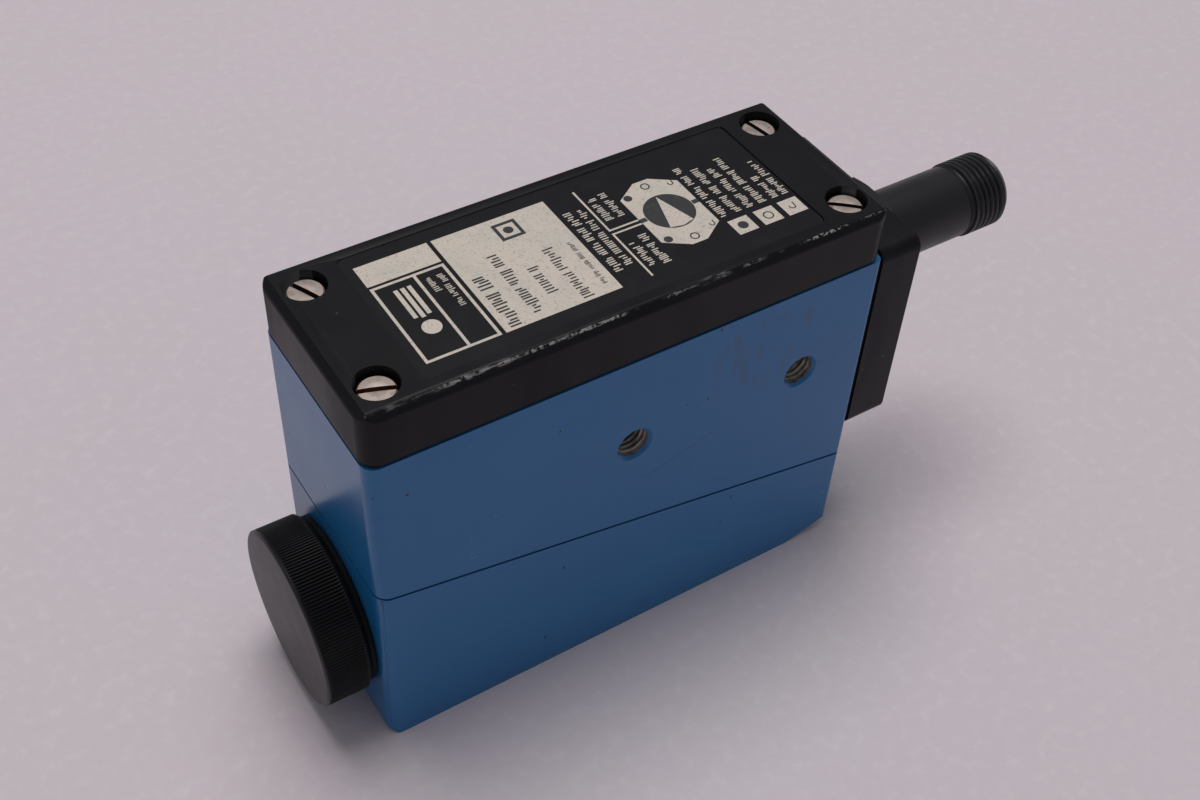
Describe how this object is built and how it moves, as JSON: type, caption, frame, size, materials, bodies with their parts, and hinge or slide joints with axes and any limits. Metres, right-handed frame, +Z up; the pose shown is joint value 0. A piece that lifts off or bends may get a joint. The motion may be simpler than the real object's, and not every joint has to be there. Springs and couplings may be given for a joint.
{
  "type": "photoelectric sensor",
  "caption": "Block-shaped photoelectric contrast sensor with a knurled port cap at the front, a base objective, threaded side holes and a round plug connector at the rear.",
  "frame": {"origin": "centre of the housing's flat base", "axes": "+X along the housing from the knurled front cap to the plug connector, +Y across it towards the side away from the labelled view, +Z up to the lid"},
  "size_m": [0.1235, 0.03, 0.0665],
  "materials": {
    "blue_paint": "satin paint with a light orange peel over a die-cast shell",
    "lid_plastic": "satin moulded, scuffed at the edges",
    "label_black": "satin printed film",
    "cap_black": "fine straight knurl, satin face",
    "connector_black": "satin",
    "optics_black": "black anodised",
    "seal_rubber": "matt",
    "screw_steel": "turned, a little tarnished",
    "nut_nickel": "nickel plated",
    "gold_metal": "gold flashed",
    "lens_glass": "polished and coated",
    "mirror_glass": "front silvered",
    "red_led": "clear moulded",
    "infrared_led": "smoked moulded",
    "circuit_board": "solder resist",
    "component_black": "moulded",
    "component_blue": "moulded",
    "terminal_white": "moulded",
    "dial_white": "moulded",
    "dial_brass": "turned",
    "light_pipe_clear": "tinted acrylic",
    "flex_amber": "polyimide film",
    "lead_insulation": "insulation"
  },
  "bodies": {
    "housing": {"upper_housing": "blue_paint", "lower_housing": "blue_paint", "housing_gasket": "seal_rubber", "housing_screws": "screw_steel", "lid": "lid_plastic", "lid_gasket": "seal_rubber", "lid_screws": "screw_steel", "label_plate": "label_black", "mirror_holder": "optics_black", "deflecting_mirror": "mirror_glass", "optics_block": "optics_black", "beam_splitter": "lens_glass", "collimator_lens": "lens_glass", "emitter_holder": "optics_black", "red_emitter": "red_led", "infrared_emitter": "infrared_led", "receiver_lens": "lens_glass", "receiver_diode": "gold_metal", "optics_screws": "screw_steel", "spacer_sleeves": "screw_steel", "amplifier_board": "circuit_board", "amplifier_header": "gold_metal", "sensor_flex": "flex_amber", "main_board": "circuit_board", "main_board_parts": "component_black", "board_screws": "screw_steel", "board_link": "component_black", "lead_terminal": "terminal_white", "control_board": "circuit_board", "selector_body": "component_black", "selector_seal": "seal_rubber", "potentiometer_body": "component_blue", "potentiometer_seal": "seal_rubber", "indicator_leds": "terminal_white", "light_pipes": "light_pipe_clear", "rear_cover": "lid_plastic", "rear_cover_gasket": "seal_rubber", "rear_cover_screws": "screw_steel", "connector_body": "connector_black", "connector_seal": "seal_rubber", "connector_insert": "component_black", "connector_pins": "gold_metal", "connector_nut": "nut_nickel", "connector_leads": "lead_insulation"},
    "cap_seal": {"front_cap_seal": "seal_rubber"},
    "cap": {"front_cap": "cap_black"},
    "objective_ring": {"objective_seal": "seal_rubber"},
    "objective": {"objective_barrel": "optics_black", "objective_lens": "lens_glass", "lens_retainer": "optics_black"},
    "selector": {"selector_rotor": "dial_white"},
    "sensitivity": {"potentiometer_rotor": "dial_brass"}
  },
  "joints": [
    {"name": "cap_travel", "type": "slide", "parent": "housing", "child": "cap_seal", "axis": [-1, 0, 0], "range_m": [0, 0.0046]},
    {"name": "cap_turn", "type": "hinge", "parent": "cap_seal", "child": "cap", "pos_m": [-0.044, 0, 0.01665], "axis": [-1, 0, 0], "range_deg": [0, 1620]},
    {"name": "objective_travel", "type": "slide", "parent": "housing", "child": "objective_ring", "axis": [0, 0, -1], "range_m": [0, 0.0046]},
    {"name": "objective_turn", "type": "hinge", "parent": "objective_ring", "child": "objective", "pos_m": [-0.022, 0, 0.004], "axis": [0, 0, -1], "range_deg": [0, 2160]},
    {"name": "selector_turn", "type": "hinge", "parent": "housing", "child": "selector", "pos_m": [0.0465, -0.0052, 0.0326], "axis": [1, 0, 0], "range_deg": [-45, 225]},
    {"name": "sensitivity_turn", "type": "hinge", "parent": "housing", "child": "sensitivity", "pos_m": [0.0465, 0.0052, 0.0326], "axis": [1, 0, 0], "range_deg": [-135, 135]}
  ],
  "couplings": [
    {"joint": "cap_travel", "follows": "cap_turn", "m_per_rad": 0.00015915},
    {"joint": "objective_travel", "follows": "objective_turn", "m_per_rad": 0.00011937}
  ]
}
